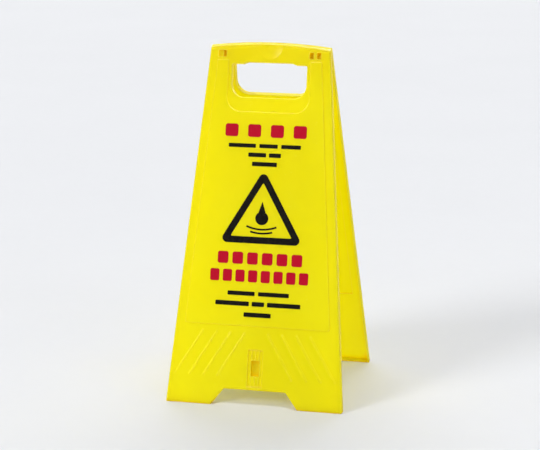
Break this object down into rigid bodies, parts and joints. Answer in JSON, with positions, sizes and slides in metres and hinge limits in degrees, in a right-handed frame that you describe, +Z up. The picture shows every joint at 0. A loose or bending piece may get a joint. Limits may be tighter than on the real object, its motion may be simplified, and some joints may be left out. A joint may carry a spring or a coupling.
{
  "type": "wet floor sign",
  "caption": "Folding A-frame floor sign: two arched yellow moulded panels with hand hole, hinged at the top, raised field with plain printed bars and a triangle.",
  "frame": {"origin": "floor level, in the middle between the four feet of the open sign", "axes": "+Z up; the front panel faces -Y; +X is to the right of someone who looks at the front; the hinge runs along X"},
  "size_m": [0.2994, 0.2866, 0.5887],
  "materials": {
    "yellow_plastic": "satin moulded polypropylene",
    "pin_plastic": "smooth moulded plastic",
    "black_print": "printed ink film",
    "red_print": "printed ink film"
  },
  "bodies": {
    "front": {"front_panel": "yellow_plastic", "hinge_pin_left": "pin_plastic", "hinge_pin_right": "pin_plastic", "front_print_black": "black_print", "front_print_red": "red_print"},
    "rear": {"rear_panel": "yellow_plastic", "rear_print_black": "black_print", "rear_print_red": "red_print"}
  },
  "joints": [
    {"name": "fold", "type": "hinge", "parent": "front", "child": "rear", "pos_m": [0, 0, 0.56719], "axis": [-1, 0, 0], "range_deg": [0, 26]}
  ]
}
